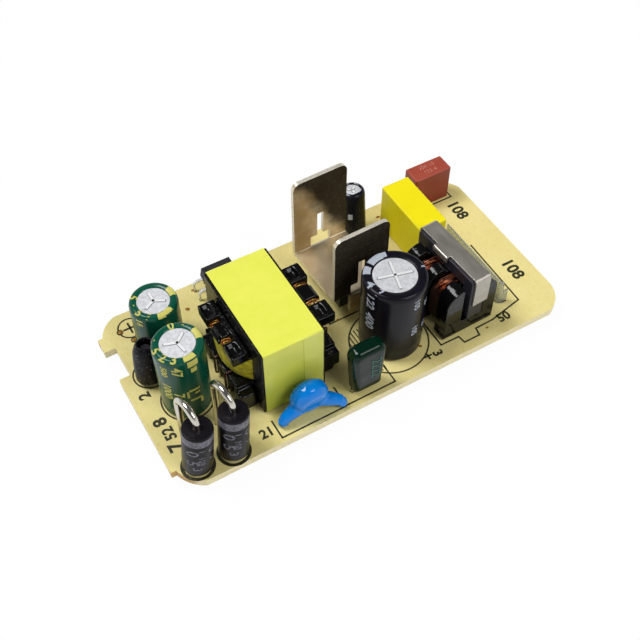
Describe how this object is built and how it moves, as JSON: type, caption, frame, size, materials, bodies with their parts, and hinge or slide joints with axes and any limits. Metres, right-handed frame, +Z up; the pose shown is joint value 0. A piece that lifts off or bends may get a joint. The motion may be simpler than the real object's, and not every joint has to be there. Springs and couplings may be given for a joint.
{
  "type": "open frame power supply",
  "caption": "Open frame mains power supply on one board, with fuse, choke, capacitors, transformer, heatsink and output diodes.",
  "frame": {"origin": "middle of the board's outline, on the plane of the solder tips that the unit rests on", "axes": "+X along the board from the output end to the mains end, +Y from the capacitors' front edge to the optocoupler's back edge, +Z up out of the component side"},
  "size_m": [0.079, 0.039, 0.0268],
  "materials": {
    "black_moulding": "satin",
    "black_sleeve": "satin",
    "blue_resin": "gloss",
    "brown_case": "satin",
    "can_aluminium": "satin",
    "chip_ceramic": "matt",
    "clear_film": "satin",
    "copper_enamel": "gloss",
    "ferrite": "matt",
    "green_resin": "gloss",
    "green_sleeve": "gloss",
    "laminate": "satin",
    "sheet_metal": "satin",
    "shrink_sleeve": "satin",
    "solder": "bright",
    "spring_steel": "satin",
    "tinned_wire": "bright",
    "yellow_case": "satin",
    "yellow_tape": "gloss"
  },
  "bodies": {
    "root": {"bridge_rectifier": "black_moulding", "bulk_capacitor_can": "can_aluminium", "bulk_capacitor_leads": "tinned_wire", "bulk_capacitor_sleeve": "black_sleeve", "chip_resistors": "chip_ceramic", "choke_bobbin": "black_moulding", "choke_clamp": "spring_steel", "choke_core_back": "ferrite", "choke_core_front": "ferrite", "choke_pins": "tinned_wire", "choke_winding_back": "copper_enamel", "choke_winding_front": "copper_enamel", "circuit_board": "laminate", "controller_chip": "black_moulding", "diode_1_body": "black_moulding", "diode_1_leads": "tinned_wire", "diode_2_body": "black_moulding", "diode_2_leads": "tinned_wire", "disc_capacitor_body": "blue_resin", "disc_capacitor_leads": "tinned_wire", "film_capacitor_body": "green_resin", "film_capacitor_leads": "tinned_wire", "filter_capacitor_can": "can_aluminium", "filter_capacitor_leads": "tinned_wire", "filter_capacitor_sleeve": "green_sleeve", "fuse_body": "brown_case", "fuse_leads": "tinned_wire", "heatsink": "sheet_metal", "insulating_film": "clear_film", "line_capacitor_body": "yellow_case", "line_capacitor_leads": "tinned_wire", "optocoupler_body": "black_moulding", "optocoupler_leads": "tinned_wire", "output_capacitor_can": "can_aluminium", "output_capacitor_leads": "tinned_wire", "output_capacitor_sleeve": "green_sleeve", "power_transistor_body": "black_moulding", "power_transistor_leads": "tinned_wire", "rod_inductor_core": "ferrite", "rod_inductor_leads": "tinned_wire", "rod_inductor_sleeve": "shrink_sleeve", "rod_inductor_winding": "copper_enamel", "solder_joints": "solder", "supply_capacitor_can": "can_aluminium", "supply_capacitor_leads": "tinned_wire", "supply_capacitor_sleeve": "black_sleeve", "transformer_bobbin": "black_moulding", "transformer_core_lower": "ferrite", "transformer_core_upper": "ferrite", "transformer_pins": "tinned_wire", "transformer_tape": "yellow_tape", "transformer_winding": "yellow_tape", "transformer_wire_ends": "copper_enamel"}
  },
  "joints": []
}
